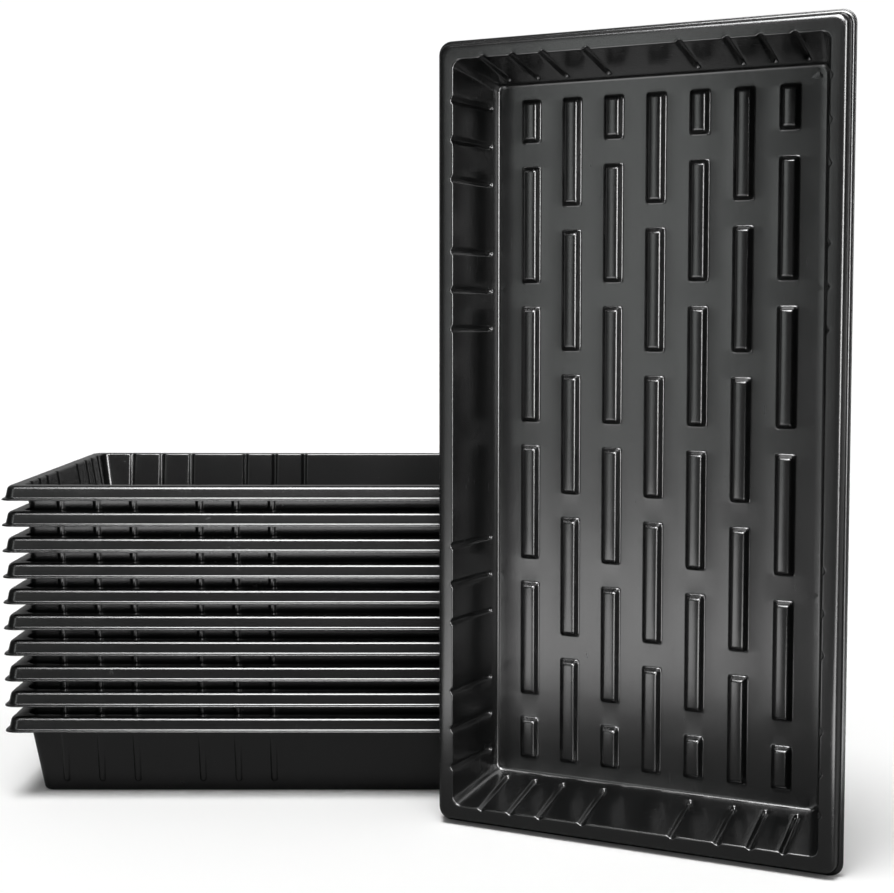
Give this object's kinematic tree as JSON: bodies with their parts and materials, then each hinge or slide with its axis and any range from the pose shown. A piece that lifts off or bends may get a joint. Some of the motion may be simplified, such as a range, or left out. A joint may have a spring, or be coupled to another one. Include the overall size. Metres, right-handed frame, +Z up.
{
  "type": "nursery tray set",
  "caption": "Shallow thermoformed nursery trays with raised floor bars, fluted walls and a flared flange: a nested stack and one tray stood on end in front.",
  "frame": {"origin": "on the floor, at the middle of the whole set's footprint", "axes": "+Z up; +X along the stacked trays' length; -Y towards the side the standing tray is on, where its open side faces"},
  "size_m": [0.579, 0.4372, 0.543],
  "materials": {
    "tray_sheet": "satin thermoformed sheet, fine grain"
  },
  "bodies": {
    "stack_base": {"tray_01": "tray_sheet"},
    "nested_tray_02": {"tray_02": "tray_sheet"},
    "nested_tray_03": {"tray_03": "tray_sheet"},
    "nested_tray_04": {"tray_04": "tray_sheet"},
    "nested_tray_05": {"tray_05": "tray_sheet"},
    "nested_tray_06": {"tray_06": "tray_sheet"},
    "nested_tray_07": {"tray_07": "tray_sheet"},
    "nested_tray_08": {"tray_08": "tray_sheet"},
    "nested_tray_09": {"tray_09": "tray_sheet"},
    "nested_tray_10": {"tray_10": "tray_sheet"},
    "standing_tray": {"front_tray": "tray_sheet"}
  },
  "joints": [
    {"name": "lift_02", "type": "slide", "parent": "stack_base", "child": "nested_tray_02", "axis": [0, 0, 1], "range_m": [0, 0.06]},
    {"name": "lift_03", "type": "slide", "parent": "nested_tray_02", "child": "nested_tray_03", "axis": [0, 0, 1], "range_m": [0, 0.06]},
    {"name": "lift_04", "type": "slide", "parent": "nested_tray_03", "child": "nested_tray_04", "axis": [0, 0, 1], "range_m": [0, 0.06]},
    {"name": "lift_05", "type": "slide", "parent": "nested_tray_04", "child": "nested_tray_05", "axis": [0, 0, 1], "range_m": [0, 0.06]},
    {"name": "lift_06", "type": "slide", "parent": "nested_tray_05", "child": "nested_tray_06", "axis": [0, 0, 1], "range_m": [0, 0.06]},
    {"name": "lift_07", "type": "slide", "parent": "nested_tray_06", "child": "nested_tray_07", "axis": [0, 0, 1], "range_m": [0, 0.06]},
    {"name": "lift_08", "type": "slide", "parent": "nested_tray_07", "child": "nested_tray_08", "axis": [0, 0, 1], "range_m": [0, 0.06]},
    {"name": "lift_09", "type": "slide", "parent": "nested_tray_08", "child": "nested_tray_09", "axis": [0, 0, 1], "range_m": [0, 0.06]},
    {"name": "lift_10", "type": "slide", "parent": "nested_tray_09", "child": "nested_tray_10", "axis": [0, 0, 1], "range_m": [0, 0.06]},
    {"name": "tip_forward", "type": "hinge", "parent": "stack_base", "child": "standing_tray", "pos_m": [0.15479, -0.16382, 0.0043], "axis": [0.915, -0.4035, 0], "range_deg": [0, 90]}
  ]
}
